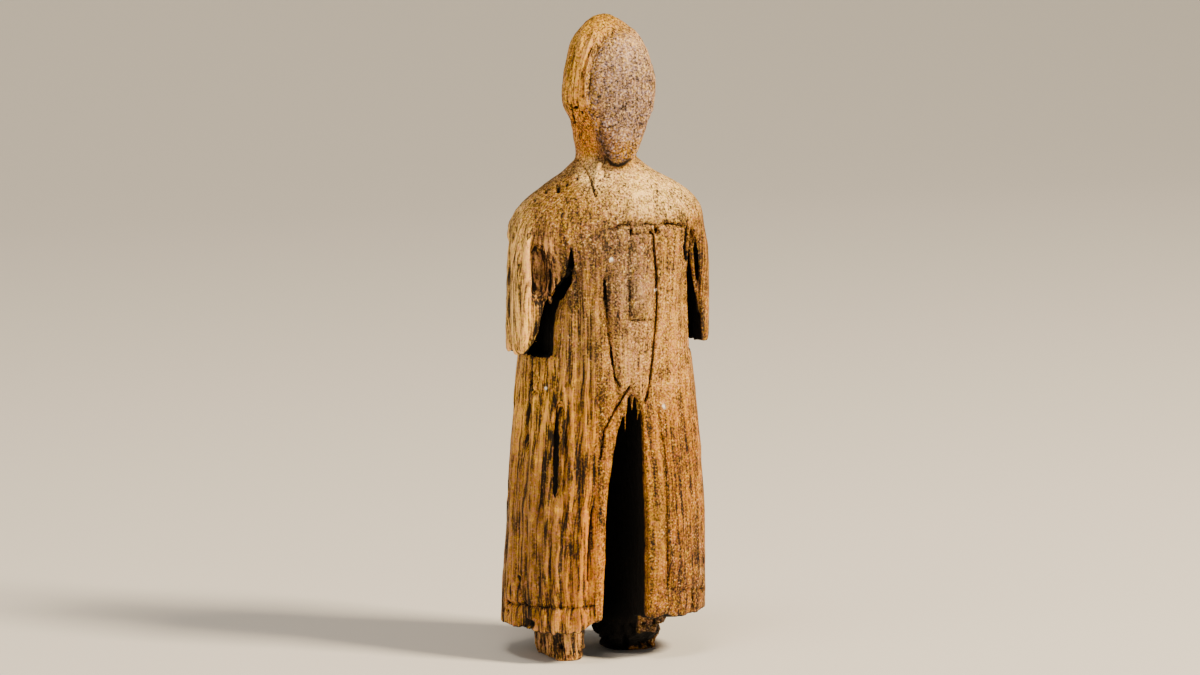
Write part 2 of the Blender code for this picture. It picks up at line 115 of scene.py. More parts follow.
bpy.ops.object.select_all(action="DESELECT")
bpy.ops.mesh.primitive_plane_add(size=FLOOR_SIZE, location=(0.0, 0.0, -0.02 * MM))
floor = bpy.context.object
floor.name = "floor"
bpy.ops.object.mode_set(mode="EDIT")
bpy.ops.mesh.select_all(action="DESELECT")
bpy.ops.object.mode_set(mode="OBJECT")
for edge in floor.data.edges:
    edge.select = all(floor.data.vertices[end].co.y > 0.0 for end in edge.vertices)
bpy.ops.object.mode_set(mode="EDIT")
bpy.ops.mesh.select_mode(type="EDGE")
bpy.ops.mesh.extrude_region_move(TRANSFORM_OT_translate={"value": (0.0, 0.0, 1.0)})
bpy.ops.object.mode_set(mode="OBJECT")
bpy.ops.object.transform_apply(location=True, rotation=True, scale=True)
fold = floor.modifiers.new("fold", "BEVEL")
fold.width = 0.5
fold.segments = 24
fold.limit_method = "ANGLE"
bpy.ops.object.modifier_apply(modifier="fold")
bpy.ops.object.shade_smooth()

paper = bpy.data.materials.new("matt white paper")
paper.use_nodes = True
paper_shader = paper.node_tree.nodes["Principled BSDF"]
paper_shader.inputs["Base Color"].default_value = (*linear("#e9e6e1"), 1.0)
paper_shader.inputs["Roughness"].default_value = 0.9
floor.data.materials.append(paper)
print("floor faces:", len(floor.data.polygons))

# %% [markdown]
# One strong light stands at the upper right, small enough to rake over the grain, so that each
# fold of it has a bright and a dark side and the cuts fall into shadow. A weak light from the
# left and the pale room keep the shaded sides readable.


# %% The lights
LIGHT_DISTANCE = 0.5


def add_light(name, turn, rise, size, power, colour):
    turn = math.radians(turn)
    rise = math.radians(rise)
    direction = Vector((
        math.sin(turn) * math.cos(rise),
        -math.cos(turn) * math.cos(rise),
        math.sin(rise),
    ))
    bpy.ops.object.light_add(
        type="AREA",
        location=LOOK_AT + direction * LIGHT_DISTANCE,
        rotation=direction.to_track_quat("Z", "Y").to_euler(),
    )
    light = bpy.context.object
    light.name = name
    light.data.size = size
    light.data.energy = power
    light.data.color = linear(colour)


add_light("key light", 46.0, 44.0, 0.1, 5.4, "#ffe8c4")
add_light("fill light", -70.0, 30.0, 0.3, 0.45, "#fff0e0")
add_light("top light", -35.0, 68.0, 0.15, 1.0, "#ffefd8")
room = bpy.context.scene.world or bpy.data.worlds.new("room")
bpy.context.scene.world = room
room.use_nodes = True
air = room.node_tree.nodes["Background"]
air.inputs["Color"].default_value = (*linear("#f0ece6"), 1.0)
air.inputs["Strength"].default_value = 0.2

# %% [markdown]
# The figurine's skin starts as a copy of the solid. The copy's triangles are merged into one
# net, and a subdivision surface rounds off the facets, as sand and water would.

# %% Copy the solid
bpy.ops.object.select_all(action="DESELECT")
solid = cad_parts["figurine"]
solid.select_set(True)
bpy.context.view_layer.objects.active = solid
bpy.ops.object.duplicate()
wood = bpy.context.object
wood.name = "figurine_wood"
bpy.ops.object.mode_set(mode="EDIT")
bpy.ops.mesh.select_all(action="SELECT")
bpy.ops.mesh.remove_doubles(threshold=0.002 * MM)
bpy.ops.object.mode_set(mode="OBJECT")
rounding = wood.modifiers.new("rounding", "SUBSURF")
rounding.levels = 2
rounding.render_levels = 2
bpy.ops.object.modifier_apply(modifier="rounding")
print("faces after rounding:", len(wood.data.polygons))

# %% [markdown]
# Torn fibres stand free at the left armpit, in the right gap, at the top of the slit and at the
# base of the neck. Each one is a thin cone from a root inside the wood to its tip. The cones are
# joined to the copy, and the remesh further down fuses them with it. Sculpting them by hand
# would work too, but cones are quick to place exactly.


# %% Splinters
def add_splinter(root, tip, width):
    root = Vector(root) * MM
    tip = Vector(tip) * MM
    bpy.ops.mesh.primitive_cone_add(
        vertices=8,
        radius1=width * MM / 2.0,
        radius2=width * MM / 8.0,
        depth=(tip - root).length,
        location=(root + tip) / 2.0,
        rotation=(tip - root).to_track_quat("Z", "Y").to_euler(),
    )
    return bpy.context.object


bpy.ops.object.select_all(action="DESELECT")
splinters = [
    # Along the torn inner edge of the left arm.
    add_splinter((-5.6, -3.6, 32.4), (-6.1, -3.95, 30.2), 0.3),
    add_splinter((-6.75, -3.5, 29.6), (-7.35, -3.8, 27.0), 0.26),
    # In the right gap.
    add_splinter((7.5, -3.0, 28.7), (6.85, -3.4, 32.0), 0.75),
    add_splinter((6.4, -3.2, 35.8), (6.95, -3.4, 30.4), 0.7),
    # At the top of the slit.
    add_splinter((-0.2, -5.9, 23.0), (-0.35, -6.25, 19.4), 0.45),
    add_splinter((0.35, -5.9, 23.3), (0.3, -6.15, 21.2), 0.4),
    add_splinter((0.85, -5.9, 23.0), (0.8, -6.15, 20.3), 0.42),
    # At the base of the neck.
    add_splinter((-1.4, -3.0, 41.7), (-2.25, -4.0, 40.1), 0.5),
]
for splinter in splinters:
    splinter.select_set(True)
wood.select_set(True)
bpy.context.view_layer.objects.active = wood
bpy.ops.object.join()
print("splinters joined:", len(splinters))

# %% [markdown]
# Cracks, seams and cuts are thin lines. Each is a short run of points, across and height in
# millimetres, with its depth and its half width. Across is how far to the right a point lies
# for someone who stands where the camera does: most marks on the wood were drawn by that one
# view, so across and height are enough to place them. Cracks that gape have a half width at
# each of their points instead.

# %% The drawn lines
LINES = [
    # Carved in the chest: the yoke, its short lines and the two edges of the front.
    ([(0.8, 36.4), (1.45, 36.7), (3.2, 36.75)], 0.25, 0.12),
    ([(3.2, 36.75), (4.6, 36.7), (5.7, 36.6), (6.6, 36.35)], 0.4, 0.13),
    ([(2.3, 35.95), (4.1, 35.9)], 0.2, 0.1),
    ([(2.3, 36.6), (2.3, 35.95)], 0.5, 0.13),
    ([(4.35, 36.6), (4.4, 36.0)], 0.5, 0.17),
    ([(3.9, 36.1), (4.15, 35.8), (4.2, 34.6), (4.38, 33.0), (4.43, 31.1), (4.45, 29.8)],
     0.45, 0.12),
    ([(4.45, 29.8), (4.38, 28.8), (4.25, 27.5), (4.12, 25.9), (3.93, 24.4), (3.7, 22.6)],
     0.35, 0.11),
    ([(0.08, 32.3), (0.15, 31.1), (0.3, 29.6)], 0.5, 0.13),
    ([(0.3, 29.6), (0.4, 27.9), (0.6, 26.6)], 0.22, 0.1),
    ([(0.6, 26.6), (0.78, 25.2), (0.97, 24.0), (1.3, 23.35)], 0.5, 0.13),
    ([(2.2, 32.3), (2.2, 30.1), (2.2, 28.8)], 0.15, 0.14),
    ([(2.25, 28.8), (3.95, 28.75)], 0.18, 0.12),
    ([(0.4, 28.35), (1.3, 28.45)], 0.1, 0.1),
    # The lip along the slit's left side, and the trim on its right.
    ([(2.2, 23.3), (1.65, 22.5), (0.7, 20.9), (0.1, 19.7), (-0.1, 18.3), (-0.25, 17.4)],
     0.42, 0.12),
    ([(3.7, 22.6), (3.5, 22.0)], 0.4, 0.12),
    ([(4.5, 21.5), (5.0, 18.3), (5.2, 16.4), (5.3, 12.0), (5.4, 6.2)], 0.12, 0.1),
    # Cut above the hem.
    ([(5.65, 6.0), (7.2, 5.75), (8.5, 5.5)], 0.22, 0.1),
    ([(7.5, 5.6), (7.5, 4.0)], 0.18, 0.1),
    ([(-8.3, 4.5), (-7.4, 4.6), (-6.8, 4.95), (-6.4, 4.8)], 0.4, 0.14),
    ([(-6.4, 4.8), (-4.5, 4.85), (-2.1, 4.9), (-0.6, 5.1)], 0.22, 0.11),
    # Drying cracks of the left panel.
    ([(-6.5, 19.4), (-6.35, 17.8)], 0.4, 0.15),
    ([(-6.1, 24.2), (-6.2, 23.3), (-5.6, 22.5)], 0.35, 0.14),
    ([(-6.3, 21.4), (-6.5, 19.4)], 0.3, 0.13),
    ([(-3.05, 19.6), (-3.2, 15.1)], 0.2, 0.1),
    ([(-0.9, 13.1), (-1.15, 10.7), (-1.3, 8.8), (-1.3, 7.2)], 0.35, 0.11),
    ([(-6.9, 7.4), (-7.15, 6.6), (-6.95, 5.6)], 0.4, 0.15),
    # Neck and hood.
    ([(-1.6, 41.3), (-1.25, 40.8), (-1.0, 40.3), (-0.8, 39.6), (-0.65, 39.1)], 0.3, 0.12),
    ([(-0.9, 51.2), (-1.3, 50.2), (-1.6, 48.8), (-1.7, 47.0)], 0.22, 0.11),
    ([(-0.55, 51.5), (-0.95, 50.3), (-1.15, 49.0), (-1.25, 47.3)], 0.2, 0.12),
    ([(-2.35, 50.5), (-2.6, 49.0), (-2.65, 47.2)], 0.2, 0.12),
]
# Each open crack: its depth, and its points as across, height and half width.
OPEN_CRACKS = [
    # The longest drying crack. The solid has its deep groove already, so little is cut here.
    (0.1, [(-3.62, 22.0, 0.04), (-3.72, 20.8, 0.16), (-3.84, 18.9, 0.24), (-3.95, 16.3, 0.24),
           (-4.0, 14.5, 0.18), (-4.0, 14.0, 0.04)]),
    # The narrow top of the gap beside the left arm, and the tear in the arm's edge.
    (1.3, [(-2.65, 34.6, 0.12), (-2.7, 33.6, 0.28), (-2.85, 32.6, 0.32), (-3.3, 31.7, 0.55),
           (-3.7, 31.0, 0.6)]),
    (0.6, [(-4.5, 33.9, 0.06), (-4.5, 32.9, 0.16), (-4.4, 31.7, 0.2), (-4.45, 30.9, 0.14)]),
    (0.4, [(-3.95, 32.4, 0.05), (-3.9, 31.3, 0.12)]),
    (0.4, [(-3.55, 32.9, 0.05), (-3.5, 31.8, 0.12)]),
    # The notch at the end of the yoke, and the tear in the right arm.
    (0.5, [(7.02, 37.0, 0.05), (6.95, 35.9, 0.14), (6.85, 34.6, 0.2), (6.95, 33.4, 0.16)]),
    (0.35, [(7.65, 35.3, 0.08), (7.72, 33.9, 0.18), (7.8, 32.2, 0.12)]),
    # The crack beside the neck, under the hood.
    (0.5, [(-2.65, 46.5, 0.1), (-2.5, 45.4, 0.17), (-2.4, 44.5, 0.05)]),
]
# Pale specks: across, height.
SPECKS = [(0.66, 34.0), (4.35, 31.2), (-4.8, 23.1), (5.0, 21.5)]
print("lines:", len(LINES), "open cracks:", len(OPEN_CRACKS))

# %% [markdown]
# A voxel remesh turns everything into one closed skin of small even squares. Wood grain is fine
# across and slow along, so the figure is squashed in height first and stretched back after:
# the squares become tall, and none are wasted along the grain.

# %% One fine skin
SQUASH = 0.4
VOXEL = 0.12 * MM

bpy.ops.object.select_all(action="DESELECT")
wood.select_set(True)
bpy.context.view_layer.objects.active = wood
wood.scale = (1.0, 1.0, SQUASH)
bpy.ops.object.transform_apply(location=False, rotation=False, scale=True)
wood.data.remesh_voxel_size = VOXEL
wood.data.remesh_voxel_adaptivity = 0.0
bpy.ops.object.voxel_remesh()
wood.scale = (1.0, 1.0, 1.0 / SQUASH)
bpy.ops.object.transform_apply(location=False, rotation=False, scale=True)
ease = wood.modifiers.new("ease", "SMOOTH")
ease.factor = 0.5
ease.iterations = 3
bpy.ops.object.modifier_apply(modifier="ease")
print("skin:", len(wood.data.polygons), "squares")

# %% [markdown]
# From here the skin is shaped as numbers: every point has a place and a direction in which it
# looks. We measure places in millimetres, and work out across for each point. The distance from
# a point to the nearest stretch of a line is needed again and again, so it gets a function.


# %% Read the skin
def ramp(value, low, high):
    """0 below low, 1 above high, and a smooth rise between."""
    share = np.clip((value - low) / (high - low), 0.0, 1.0)
    return share * share * (3.0 - 2.0 * share)


def read_skin():
    size = len(wood.data.vertices)
    spots = np.empty(size * 3)
    normals = np.empty(size * 3)
    wood.data.vertices.foreach_get("co", spots)
    wood.data.vertices.foreach_get("normal", normals)
    return spots.reshape(-1, 3) / MM, normals.reshape(-1, 3)


def as_viewed(spots, normals):
    sideways = spots[:, 0] * math.cos(VIEW_TURN) + spots[:, 1] * math.sin(VIEW_TURN)
    towards_viewer = normals[:, 0] * math.sin(VIEW_TURN) - normals[:, 1] * math.cos(VIEW_TURN)
    return sideways, towards_viewer


def line_distance(points, sideways, heights):
    nearest = np.full(len(heights), np.inf)
    for start, end in zip(points, points[1:]):
        run = end[0] - start[0]
        rise = end[1] - start[1]
        along = (sideways - start[0]) * run + (heights - start[1]) * rise
        share = np.clip(along / (run * run + rise * rise), 0.0, 1.0)
        gap = np.hypot(sideways - start[0] - run * share, heights - start[1] - rise * share)
        nearest = np.minimum(nearest, gap)
    return nearest


places, looks = read_skin()
across, facing = as_viewed(places, looks)
print("points:", len(places), "of which seen:", int((facing > 0.1).sum()))

# %% [markdown]
# Where the viewer can't look, the skin may be coarser. A vertex group marks those points, and a
# Decimate modifier thins out the triangles there. Then the squares beside the drawn lines are
# cut in three each way, so that thin lines come out sharp.

# %% Coarser behind, finer at the lines
hidden = wood.vertex_groups.new(name="hidden")
away = np.nonzero(facing < 0.1)[0]
hidden.add([int(index) for index in away], 1.0, "REPLACE")
coarser = wood.modifiers.new("coarser", "DECIMATE")
coarser.ratio = 0.5
coarser.vertex_group = "hidden"
coarser.vertex_group_factor = 10.0
bpy.ops.object.modifier_apply(modifier="coarser")

places, looks = read_skin()
across, facing = as_viewed(places, looks)
beside = np.full(len(places), np.inf)
for points, depth, half_width in LINES:
    beside = np.minimum(beside, line_distance(points, across, places[:, 2]) - half_width)
for depth, points in OPEN_CRACKS:
    beside = np.minimum(beside, line_distance(points, across, places[:, 2]) - 0.2)
for middle, height in SPECKS:
    beside = np.minimum(beside, np.hypot(across - middle, places[:, 2] - height) - 0.15)
near = (beside < 0.1) & (beside > -0.35) & (facing > 0.05)
bpy.ops.object.mode_set(mode="EDIT")
bpy.ops.mesh.select_mode(type="VERT")
bpy.ops.mesh.select_all(action="DESELECT")
bpy.ops.object.mode_set(mode="OBJECT")
wood.data.vertices.foreach_set("select", near)
bpy.ops.object.mode_set(mode="EDIT")
bpy.ops.mesh.subdivide(number_cuts=2)
bpy.ops.object.mode_set(mode="OBJECT")

places, looks = read_skin()
across, facing = as_viewed(places, looks)
x, y, z = places.T.copy()
count = len(places)
seen = ramp(facing, 0.05, 0.3)
triangles = sum(len(face.vertices) - 2 for face in wood.data.polygons)
print("points:", count, "triangles:", triangles)

# %% [markdown]
# Driftwood keeps its grain: long fibres that run up the figure. Coordinates that are stretched
# along the fibres make any noise look like grain. They follow the coat as it flares and the
# head as it narrows, so the lines bend with the form, as the growth rings under it do.

# %% The direction of the grain
GRAIN_LENGTH = 24.0
USUAL_WIDTH = 7.5

widths = np.interp(z, [0.0, 8.0, 25.0, 30.0, 36.0, 41.0, 46.0, 49.0, 52.0, 54.0],
                   [8.7, 8.5, 7.2, 6.9, 6.8, 5.6, 4.0, 4.1, 3.4, 2.0])


def noise_at(spots):
    return np.array([noise.noise(Vector(spot)) for spot in spots.tolist()])


def lumps(size, seed):
    """Noise that is the same in every direction, size millimetres wide."""
    return noise_at(places / size + seed * 5.3)


slow = np.stack([x / 6.0, y / 6.0, z / 18.0], axis=1)
sway = noise_at(slow)
grain = np.stack([
    x * USUAL_WIDTH / widths + sway * 0.9 + 0.12 * lumps(2.5, 11.0),
    y * USUAL_WIDTH / widths + sway * 0.5,
    z / GRAIN_LENGTH,
], axis=1)


def fibres(size, seed):
    """Noise drawn out along the grain, size millimetres wide."""
    return noise_at(grain / size + seed * 7.7)


broad_grain = fibres(1.3, 1.0)
middle_grain = fibres(0.65, 2.0)
fine_grain = fibres(0.36, 3.0)
broad_lumps = lumps(3.5, 1.0)
small_lumps = lumps(0.8, 2.0)
tiny_lumps = lumps(0.4, 3.0)
print("grain from", round(fine_grain.min(), 2), "to", round(fine_grain.max(), 2))

# %% [markdown]
# Soft parts of the grain have weathered away between the hard lines. This is strongest on the
# left panel of the coat and the left arm, weaker on the belly's left side, the right arm and the
# back, and faint on the hood and the right panel. The face was rubbed smooth.

# %% How worn each region is
head = ramp(z, 42.0, 44.0)
face_middle = 1.35 + 0.35 * ramp(46.5 - z, 0.0, 1.5)
face = ramp(1.0 - ((across - face_middle) / 2.85) ** 2 - ((z - 47.0) / 5.6) ** 2, 0.0, 0.1) * seen
left_panel = ramp(-across, 0.3, 2.2) * ramp(27.0 - z, 0.0, 5.0)
left_belly = ramp(0.4 - across, 0.0, 1.4) * ramp(36.0 - z, 0.0, 4.0)
left_arm = ramp(-x, 5.4, 6.4) * ramp(z, 25.6, 26.2) * ramp(38.5 - z, 0.0, 3.0)
right_arm = ramp(x, 6.8, 7.4) * ramp(z, 25.6, 26.2) * ramp(38.0 - z, 0.0, 2.0)
right_panel = ramp(across, 3.0, 4.5) * ramp(24.0 - z, 0.0, 5.0)
behind = ramp(y, 0.0, 3.0)
hood = head * (1.0 - face)
weathering = 0.12 + 0.88 * left_panel + 0.5 * left_belly + 0.7 * left_arm + 0.4 * right_arm
weathering = weathering + 0.2 * hood + 0.35 * behind * (1.0 - head) + 0.2 * right_panel
shoulders = ramp(z, 36.0, 39.0) * (1.0 - head)
weathering = np.clip(weathering, 0.0, 1.0) * (1.0 - 0.9 * face) * (1.0 - 0.5 * shoulders)
print("mean weathering:", round(float(weathering.mean()), 2))

# %% [markdown]
# Relief is kept as one number for each point: how far the surface goes in, in millimetres. The
# grain comes first, in three sizes. The soft folds of the coat, and the ridges that are easy to
# pick out, have their own places.

# %% Grain and ridges
inward = weathering * (0.27 * broad_grain + 0.22 * middle_grain + 0.1 * fine_grain)
inward += (1.0 - face) * (0.06 * small_lumps + 0.03 * tiny_lumps + 0.1 * broad_lumps)
inward += face * (0.04 * small_lumps + 0.1 * broad_lumps)

# Each fold: across, height, half width, half height, rise.
FOLDS = [
    (2.3, 25.8, 1.3, 2.8, 0.3), (3.3, 33.2, 0.8, 2.6, 0.22), (1.2, 31.5, 0.8, 2.4, 0.2),
    (3.1, 30.2, 0.7, 1.4, 0.15), (5.5, 29.0, 0.8, 5.0, 0.2), (5.8, 22.0, 1.2, 4.0, 0.2),
    (-2.6, 29.5, 0.6, 4.5, 0.25), (-0.6, 26.5, 0.5, 3.5, 0.2), (-3.9, 27.0, 0.5, 3.0, 0.2),
    (4.7, 12.0, 0.45, 6.0, 0.2), (-6.9, 31.5, 0.5, 4.0, 0.2), (-0.4, 12.0, 0.5, 7.0, 0.25),
    (0.3, 18.5, 0.4, 3.0, 0.2), (3.0, 39.0, 1.5, 1.2, 0.2), (2.2, 49.5, 1.2, 2.0, 0.15),
]
for middle, height, half_across, half_up, rise in FOLDS:
    spread = ((across - middle) / half_across) ** 2 + ((z - height) / half_up) ** 2
    inward -= rise * np.exp(-spread) * seen

# Each ridge: across at its foot, across at its top, foot height, top height, width, rise.
RIDGES = [
    (-7.95, -7.2, 4.5, 24.0, 0.3, 0.2),
    (-6.75, -6.5, 5.0, 14.0, 0.22, 0.14),
    (-6.15, -5.7, 3.0, 23.0, 0.28, 0.22),
    (-5.4, -5.1, 8.0, 25.5, 0.2, 0.14),
    (-4.85, -4.6, 3.0, 14.5, 0.28, 0.24),
    (-3.95, -3.85, 3.0, 13.5, 0.26, 0.2),
    (-3.5, -3.2, 12.0, 25.0, 0.2, 0.18),
    (-3.05, -2.6, 3.0, 25.0, 0.26, 0.22),
    (-1.95, -1.3, 3.0, 26.0, 0.26, 0.24),
    (-0.65, -0.4, 3.0, 12.0, 0.26, 0.22),
    (-1.75, -1.55, 22.0, 33.0, 0.24, 0.2),
    (-0.85, -0.7, 18.0, 30.5, 0.22, 0.18),
    (-0.2, -0.1, 24.0, 29.5, 0.2, 0.16),
    (-7.2, -6.9, 26.0, 37.0, 0.24, 0.2),
    (-7.75, -7.5, 26.0, 36.0, 0.2, 0.16),
    (-6.55, -6.2, 26.0, 36.0, 0.24, 0.18),
    (-1.85, -0.75, 46.2, 52.4, 0.15, 0.24),
    (-1.4, -0.4, 46.6, 52.2, 0.13, 0.2),
    (-2.3, -1.15, 46.4, 52.0, 0.15, 0.16),
    (-2.75, -1.7, 46.4, 51.6, 0.16, 0.14),
]
wander = 0.14 * lumps(3.0, 5.0)
ridge_rise = np.zeros(count)
for foot, top, low, high, width, rise in RIDGES:
    share = np.clip((z - low) / (high - low), 0.0, 1.0)
    bow = 0.35 * np.sin(np.pi * share) * (z > 46.0)
    off = (across + wander - foot - (top - foot) * share + bow) / width
    ends = ramp(z, low - 1.0, low + 1.0) * ramp(high + 1.5 - z, 0.0, 3.0)
    ridge_rise = np.maximum(ridge_rise, np.exp(-off * off) * rise * ends * seen)
inward -= 1.4 * ridge_rise - 0.08 * weathering
print("highest ridge:", round(float(ridge_rise.max()), 2), "mm")

# %% [markdown]
# Each drawn line becomes a V-shaped groove, and each open crack a deep one with steep sides. A
# little noise makes them wander.

# %% Cut the lines
wavy = across + 0.05 * tiny_lumps
front = ramp(-y, -0.3, 0.5) * ramp(facing, -0.8, -0.4)
groove = np.zeros(count)
crack_shade = np.zeros(count)
broken = np.clip(0.8 + 0.7 * small_lumps, 0.0, 1.0)
for points, depth, half_width in LINES:
    inside = np.clip(1.0 - line_distance(points, wavy, z) / half_width, 0.0, 1.0) * front
    groove = np.maximum(groove, depth * inside ** 0.7 * seen)
    # Painted shade: the inside of each groove is darkened.
    darkness = np.clip(depth / 0.45, 0.0, 1.0) * broken * inside ** 1.4
    crack_shade = np.maximum(crack_shade, darkness)
inward += groove
for depth, points in OPEN_CRACKS:
    heights = [point[1] for point in points][::-1]
    half_widths = [point[2] for point in points][::-1]
    width = np.interp(z, heights, half_widths) * (1.0 + 0.2 * small_lumps)
    inside = np.clip(1.0 - line_distance(points, wavy, z) / width, 0.0, 1.0) * front
    inward += depth * inside ** 0.5 * seen
    # Painted shade: the inside of an open crack is near black.
    crack_shade = np.maximum(crack_shade, np.clip(inside * 4.0, 0.0, 1.0))
print("points in grooves:", int((crack_shade > 0.05).sum()))

# %% [markdown]
# Pits, chips and the torn hollow of the left arm are rounder. Each is an oval: its middle, its
# two half sizes and its depth.

# %% Pits and chips
PITS = [
    # In the left shoulder.
    (-3.8, 39.5, 0.2, 0.3, 0.5), (-3.05, 39.9, 0.12, 0.18, 0.3), (-4.8, 39.2, 0.12, 0.18, 0.3),
    (-5.7, 38.5, 0.12, 0.16, 0.3), (-2.2, 40.4, 0.12, 0.2, 0.25),
    # Above the yoke's end, and the soft dark patch in the middle of the belly.
    (4.45, 36.25, 0.16, 0.3, 0.5), (1.7, 27.9, 0.35, 0.8, 0.12),
    # Under the hood's torn lower edge.
    (-2.3, 46.3, 0.2, 0.16, 0.35), (-1.8, 45.9, 0.14, 0.2, 0.35), (-2.9, 46.6, 0.16, 0.14, 0.3),
    # Where the left hem has chipped away, and two chips at its outer corner.
    (-6.15, 3.3, 0.45, 0.45, 0.6), (-8.1, 3.8, 0.25, 0.3, 0.3), (-8.0, 4.6, 0.2, 0.2, 0.3),
    # In the broken ends of the feet.
    (-3.7, 1.1, 0.3, 0.45, 0.5), (5.6, 2.0, 0.25, 0.5, 0.5), (4.5, 2.6, 0.3, 0.35, 0.5),
]
pit_shade = np.zeros(count)
for middle, height, half_across, half_up, depth in PITS:
    oval = ((wavy - middle) / half_across) ** 2 + ((z - height) / half_up) ** 2
    inside = np.clip(1.0 - oval, 0.0, 1.0) * seen
    inward += depth * np.sqrt(inside)
    # Painted shade: deeper pits are darker.
    darkness = np.clip(depth / 0.4, 0.0, 1.0) * np.clip(inside * 2.0, 0.0, 1.0)
    pit_shade = np.maximum(pit_shade, darkness)
arm_hollow = 1.0 - ((across + 5.35) / 1.35) ** 2 - ((z - 33.0) / 4.0) ** 2
arm_hollow = np.clip(arm_hollow, 0.0, 1.0) * seen * (y > -4.6)
torn = np.clip(middle_grain + 0.4 * broad_grain, -0.4, 0.5)
inward += 0.15 * arm_hollow + 0.6 * arm_hollow * torn
print("points in pits:", int((pit_shade > 0.0).sum()))

# %% [markdown]
# The face is a flat oval facet. A soft crease runs down its left side, where the hood's edge
# stands beside it, and lower down along the chin, where the wood was cut back to free the neck.

# %% The face's edge
FACE_EDGE = [(2.1, 52.7), (0.2, 52.3), (-0.4, 51.4), (-0.85, 50.1), (-1.15, 48.4), (-1.1, 47.0),
             (-0.35, 46.3), (-0.2, 45.6), (-0.3, 44.6), (-0.15, 43.3), (0.45, 41.9)]

face_crease = np.exp(-((line_distance(FACE_EDGE, wavy, z) / 0.22) ** 2)) * seen
inward += 0.13 * face_crease
# Under the chin and on the face's lower left a shadow is painted: the next numbers only darken the
# colour there.
UNDER_CHIN = [(-0.25, 44.0), (-0.05, 42.9), (0.3, 42.05), (0.75, 41.65), (1.2, 41.5),
              (1.7, 41.65), (2.15, 42.0)]
chin_shadow = np.exp(-((line_distance(UNDER_CHIN, wavy, z) / 0.24) ** 2)) * seen
chin_shadow *= 0.4 + 0.6 * ramp(42.6 - z, 0.0, 1.0)
chin_side_shade = np.exp(-((line_distance(UNDER_CHIN[:5], across, z) / 0.7) ** 2)) * face
print("points in the crease:", int((face_crease > 0.3).sum()))

# %% [markdown]
# The feet broke off across the grain, which leaves rough fibre ends. Strong noise on the stumps
# does that. On the right stump bundles of fibres are missing too: the noise has one value for
# each small cell there, so whole cells go in. The flat soles stay flat, because the figure
# stands on them. The hem is chipped and rounded at the slit, so the points near it move up by
# different amounts.

# %% Broken feet and hem
CELL_WIDTH = 0.42
CELL_HEIGHT = 0.8
HEM_LEFT = 2.65
HEM_RIGHT = 3.65

outer = np.hypot(looks[:, 0], looks[:, 1]) > 0.5
stumps = ramp(3.0 - z, 0.0, 0.6) * outer
cells = np.stack([
    np.floor(across / CELL_WIDTH + 0.25 * small_lumps) * 1.37,
    np.floor(z / CELL_HEIGHT) * 0.73,
    np.full(count, 0.5),
], axis=1)
blocks = ramp(noise_at(cells), -0.1, 0.15) * ramp(x, -0.8, 0.0)
rough_ends = 0.5 * blocks + 0.25 * np.maximum(middle_grain, -0.1)
rough_ends = rough_ends + 0.25 * np.abs(small_lumps) + 0.15 * np.abs(tiny_lumps)
inward += stumps * rough_ends
inward *= ramp(z, 0.02, 0.25)
inward = np.clip(inward, -0.3, 2.0)

hem = np.where(x < -1.0, HEM_LEFT, HEM_RIGHT)
lift = 0.25 * np.maximum(small_lumps, 0.0) + 0.12 * np.maximum(tiny_lumps, 0.0)
lift += 1.1 * ramp(x, -5.2, -2.6) ** 1.5 * (x < -2.2)
lift *= ramp(hem + 2.0 - z, 0.0, 2.0) * ramp(z - hem, -1.2, -0.5) * (y < 2.0)
print("deepest mark:", round(float(inward.max()), 2), "mm")

# %% [markdown]
# The relief is now put into the skin, and nothing may stand out of the box that the solid fills.

# %% Carve the skin
places -= looks * inward[:, None]
places[:, 2] += lift
box_low = np.array(cad_box[0]) / MM
box_high = np.array(cad_box[1]) / MM
places = np.clip(places, box_low, box_high)
wood.data.vertices.foreach_set("co", (places * MM).ravel())
wood.data.update()
bpy.ops.object.shade_smooth()
print("size in mm:", np.round(places.max(axis=0) - places.min(axis=0), 2))

# %% [markdown]
# Numbers for each point tell the material what happened there: shade is shadow painted into the
# colour, in cracks, pits and cuts, under the hem and the chin and along the face's crease, and
# relief is how far the point stands out of the worn surface.
# The cuts are found from edges like those that the solid was cut with. The solid's middle stands
# a little to the right of zero, so those edges are shifted by as much.

# %% Painted shade in the cuts
MIDDLE = 0.1
SLIT_HEIGHT = 23.0
SLIT_LEFT = 3.0
SLIT_RIGHT = 1.62


def inside_slit():
    up = z / SLIT_HEIGHT
    left_share = np.interp(
        up, [0.0, 0.22, 0.59, 0.77, 0.88, 1.0], [1.0, 0.95, 0.72, 0.54, 0.32, 0.0])
    right_share = np.interp(up, [0.0, 0.6, 0.85, 0.95, 1.0], [1.0, 0.92, 0.7, 0.55, 0.08])
    left = MIDDLE - SLIT_LEFT * left_share
    right = MIDDLE + SLIT_RIGHT * right_share
    beside = np.minimum(x - left + 0.25, right + 0.25 - x)
    return ramp(beside, 0.0, 0.2) * ramp(y, -6.35, -5.6) * (z < 23.3) * (y < 2.6)


def inside_gap(top, bottom, near, far, shares, near_shares, far_shares):
    drop = (top - z) / (top - bottom)
    chest = near * np.interp(drop, shares[0], near_shares)
    arm = chest + (far - chest) * np.interp(drop, shares[1], far_shares)
    left = np.minimum(chest, arm) - 0.2
    right = np.maximum(chest, arm) + 0.2
    beside = np.minimum(x - MIDDLE - left, right - x + MIDDLE)
    within = (z > bottom - 0.1) * (z < top + 0.2) * (y < 1.2)
    return ramp(beside, 0.0, 0.15) * ramp(y, -3.7, -3.0) * within


# The hem's underside, which gets painted shade.
def under_hem():
    return ramp(-looks[:, 2], 0.4, 0.8) * ramp(5.0 - z, 0.0, 0.8) * (z > 0.3)


